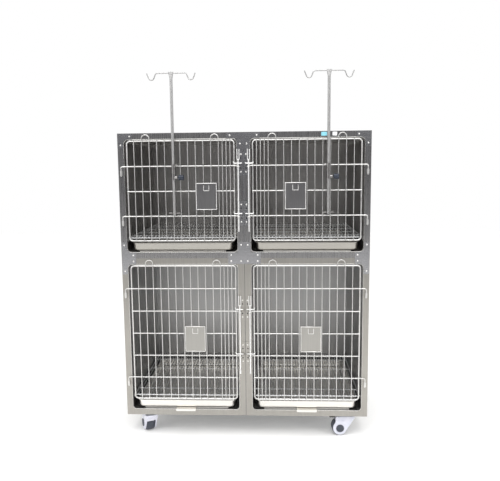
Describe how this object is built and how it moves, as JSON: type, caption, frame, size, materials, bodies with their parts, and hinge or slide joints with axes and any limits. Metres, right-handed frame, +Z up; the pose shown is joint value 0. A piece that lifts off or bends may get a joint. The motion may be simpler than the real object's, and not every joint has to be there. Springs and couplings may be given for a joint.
{
  "type": "kennel cage",
  "caption": "Stainless steel veterinary kennel bank on casters: stacked cages with barred doors, lifting latches, drip stands, floor grates and slide-out trays.",
  "frame": {"origin": "on the floor, under the middle of the bank's overall box", "axes": "+X to the right seen from the front, +Y to the back, +Z up"},
  "size_m": [1.22, 0.7377, 1.812],
  "materials": {
    "satin_stainless": "fine brushed face sheet",
    "brushed_stainless": "brushed sheet",
    "tray_stainless": "bright satin sheet",
    "polished_wire": "electropolished wire",
    "zinc_plate": "zinc plated",
    "knob_plastic": "moulded",
    "pedal_plastic": "moulded",
    "caster_housing": "satin moulded",
    "caster_tread": "grey tread"
  },
  "bodies": {
    "cabinet": {"upper_left_face": "satin_stainless", "upper_left_liner": "brushed_stainless", "upper_right_face": "satin_stainless", "upper_right_liner": "brushed_stainless", "lower_left_face": "satin_stainless", "lower_left_liner": "brushed_stainless", "lower_right_face": "satin_stainless", "lower_right_liner": "brushed_stainless", "upper_casings": "brushed_stainless", "lower_casings": "brushed_stainless", "back_panels": "brushed_stainless", "corner_plates": "satin_stainless", "centre_plates": "satin_stainless", "catch_plates": "satin_stainless", "plate_rivets": "polished_wire", "hinge_eyes": "polished_wire", "tray_runners": "brushed_stainless", "grate_ledges": "brushed_stainless", "caster_plates": "zinc_plate", "caster_bolts": "zinc_plate"},
    "upper_left_door": {"upper_left_door": "polished_wire", "upper_left_card_holder": "satin_stainless", "upper_left_stand_sleeve": "satin_stainless"},
    "upper_right_door": {"upper_right_door": "polished_wire", "upper_right_card_holder": "satin_stainless", "upper_right_stand_sleeve": "satin_stainless"},
    "lower_left_door": {"lower_left_door": "polished_wire", "lower_left_card_holder": "satin_stainless"},
    "lower_right_door": {"lower_right_door": "polished_wire", "lower_right_card_holder": "satin_stainless"},
    "upper_left_tray": {"upper_left_tray": "tray_stainless"},
    "upper_right_tray": {"upper_right_tray": "tray_stainless"},
    "lower_left_tray": {"lower_left_tray": "tray_stainless", "lower_left_tray_handle": "tray_stainless"},
    "lower_right_tray": {"lower_right_tray": "tray_stainless", "lower_right_tray_handle": "tray_stainless"},
    "upper_left_latch": {"upper_left_latch": "polished_wire"},
    "upper_right_latch": {"upper_right_latch": "polished_wire"},
    "lower_left_latch": {"lower_left_latch": "polished_wire"},
    "lower_right_latch": {"lower_right_latch": "polished_wire"},
    "upper_left_grate": {"upper_left_grate": "polished_wire"},
    "upper_right_grate": {"upper_right_grate": "polished_wire"},
    "lower_left_grate": {"lower_left_grate": "polished_wire"},
    "lower_right_grate": {"lower_right_grate": "polished_wire"},
    "upper_left_drip_stand": {"upper_left_drip_stand": "polished_wire"},
    "upper_left_stand_knob": {"upper_left_stand_knob": "knob_plastic"},
    "upper_right_drip_stand": {"upper_right_drip_stand": "polished_wire"},
    "upper_right_stand_knob": {"upper_right_stand_knob": "knob_plastic"},
    "front_left_caster_swivel": {"front_left_caster_cover": "caster_housing"},
    "front_left_caster_wheel": {"front_left_caster_wheel": "caster_tread"},
    "front_left_caster_brake_pedal": {"front_left_caster_brake_pedal": "pedal_plastic"},
    "front_right_caster_swivel": {"front_right_caster_cover": "caster_housing"},
    "front_right_caster_wheel": {"front_right_caster_wheel": "caster_tread"},
    "front_right_caster_brake_pedal": {"front_right_caster_brake_pedal": "pedal_plastic"},
    "back_left_caster_swivel": {"back_left_caster_cover": "caster_housing"},
    "back_left_caster_wheel": {"back_left_caster_wheel": "caster_tread"},
    "back_right_caster_swivel": {"back_right_caster_cover": "caster_housing"},
    "back_right_caster_wheel": {"back_right_caster_wheel": "caster_tread"}
  },
  "joints": [
    {"name": "upper_left_door_swing", "type": "hinge", "parent": "cabinet", "child": "upper_left_door", "pos_m": [-0.595, -0.3365, 1.373], "axis": [0, 0, -1], "range_deg": [0, 165]},
    {"name": "upper_right_door_swing", "type": "hinge", "parent": "cabinet", "child": "upper_right_door", "pos_m": [0.595, -0.3365, 1.373], "axis": [0, 0, 1], "range_deg": [0, 165]},
    {"name": "lower_left_door_swing", "type": "hinge", "parent": "cabinet", "child": "lower_left_door", "pos_m": [-0.595, -0.3365, 0.77], "axis": [0, 0, -1], "range_deg": [0, 165]},
    {"name": "lower_right_door_swing", "type": "hinge", "parent": "cabinet", "child": "lower_right_door", "pos_m": [0.595, -0.3365, 0.77], "axis": [0, 0, 1], "range_deg": [0, 165]},
    {"name": "upper_left_tray_slide", "type": "slide", "parent": "cabinet", "child": "upper_left_tray", "axis": [0, -1, 0], "range_m": [0, 0.45]},
    {"name": "upper_right_tray_slide", "type": "slide", "parent": "cabinet", "child": "upper_right_tray", "axis": [0, -1, 0], "range_m": [0, 0.45]},
    {"name": "lower_left_tray_slide", "type": "slide", "parent": "cabinet", "child": "lower_left_tray", "axis": [0, -1, 0], "range_m": [0, 0.45]},
    {"name": "lower_right_tray_slide", "type": "slide", "parent": "cabinet", "child": "lower_right_tray", "axis": [0, -1, 0], "range_m": [0, 0.45]},
    {"name": "upper_left_latch_lift", "type": "slide", "parent": "upper_left_door", "child": "upper_left_latch", "axis": [0, 0, 1], "range_m": [-0.009, 0]},
    {"name": "upper_right_latch_lift", "type": "slide", "parent": "upper_right_door", "child": "upper_right_latch", "axis": [0, 0, 1], "range_m": [-0.009, 0]},
    {"name": "lower_left_latch_lift", "type": "slide", "parent": "lower_left_door", "child": "lower_left_latch", "axis": [0, 0, 1], "range_m": [-0.009, 0]},
    {"name": "lower_right_latch_lift", "type": "slide", "parent": "lower_right_door", "child": "lower_right_latch", "axis": [0, 0, 1], "range_m": [-0.009, 0]},
    {"name": "upper_left_grate_lift", "type": "slide", "parent": "cabinet", "child": "upper_left_grate", "axis": [0, 0, 1], "range_m": [0, 0.08]},
    {"name": "upper_right_grate_lift", "type": "slide", "parent": "cabinet", "child": "upper_right_grate", "axis": [0, 0, 1], "range_m": [0, 0.08]},
    {"name": "lower_left_grate_lift", "type": "slide", "parent": "cabinet", "child": "lower_left_grate", "axis": [0, 0, 1], "range_m": [0, 0.08]},
    {"name": "lower_right_grate_lift", "type": "slide", "parent": "cabinet", "child": "lower_right_grate", "axis": [0, 0, 1], "range_m": [0, 0.08]},
    {"name": "upper_left_drip_stand_slide", "type": "slide", "parent": "upper_left_door", "child": "upper_left_drip_stand", "axis": [0, 0, 1], "range_m": [0, 0.15]},
    {"name": "upper_left_stand_knob_turn", "type": "hinge", "parent": "upper_left_door", "child": "upper_left_stand_knob", "pos_m": [-0.31046, -0.3565, 1.318], "axis": [1, 0, 0], "range_deg": [0, 360]},
    {"name": "upper_right_drip_stand_slide", "type": "slide", "parent": "upper_right_door", "child": "upper_right_drip_stand", "axis": [0, 0, 1], "range_m": [0, 0.15]},
    {"name": "upper_right_stand_knob_turn", "type": "hinge", "parent": "upper_right_door", "child": "upper_right_stand_knob", "pos_m": [0.43029, -0.3565, 1.318], "axis": [1, 0, 0], "range_deg": [0, 360]},
    {"name": "front_left_caster_swivel", "type": "hinge", "parent": "cabinet", "child": "front_left_caster_swivel", "pos_m": [-0.505, -0.281, 0.102], "axis": [0, 0, 1], "continuous": true},
    {"name": "front_left_caster_roll", "type": "hinge", "parent": "front_left_caster_swivel", "child": "front_left_caster_wheel", "pos_m": [-0.51815, -0.25404, 0.04], "axis": [-0.8988, -0.4384, 0], "continuous": true},
    {"name": "front_left_caster_brake_pedal_press", "type": "hinge", "parent": "front_left_caster_swivel", "child": "front_left_caster_brake_pedal", "pos_m": [-0.52924, -0.2313, 0.096], "axis": [-0.8988, -0.4384, 0], "range_deg": [0, 18]},
    {"name": "front_right_caster_swivel", "type": "hinge", "parent": "cabinet", "child": "front_right_caster_swivel", "pos_m": [0.505, -0.281, 0.102], "axis": [0, 0, 1], "continuous": true},
    {"name": "front_right_caster_roll", "type": "hinge", "parent": "front_right_caster_swivel", "child": "front_right_caster_wheel", "pos_m": [0.47507, -0.28309, 0.04], "axis": [0.0698, -0.9976, 0], "continuous": true},
    {"name": "front_right_caster_brake_pedal_press", "type": "hinge", "parent": "front_right_caster_swivel", "child": "front_right_caster_brake_pedal", "pos_m": [0.44983, -0.28486, 0.096], "axis": [0.0698, -0.9976, 0], "range_deg": [0, 18]},
    {"name": "back_left_caster_swivel", "type": "hinge", "parent": "cabinet", "child": "back_left_caster_swivel", "pos_m": [-0.505, 0.279, 0.102], "axis": [0, 0, 1], "continuous": true},
    {"name": "back_left_caster_roll", "type": "hinge", "parent": "back_left_caster_swivel", "child": "back_left_caster_wheel", "pos_m": [-0.49474, 0.30719, 0.04], "axis": [-0.9397, 0.342, 0], "continuous": true},
    {"name": "back_right_caster_swivel", "type": "hinge", "parent": "cabinet", "child": "back_right_caster_swivel", "pos_m": [0.505, 0.279, 0.102], "axis": [0, 0, 1], "continuous": true},
    {"name": "back_right_caster_roll", "type": "hinge", "parent": "back_right_caster_swivel", "child": "back_right_caster_wheel", "pos_m": [0.49723, 0.30798, 0.04], "axis": [-0.9659, -0.2588, 0], "continuous": true}
  ]
}
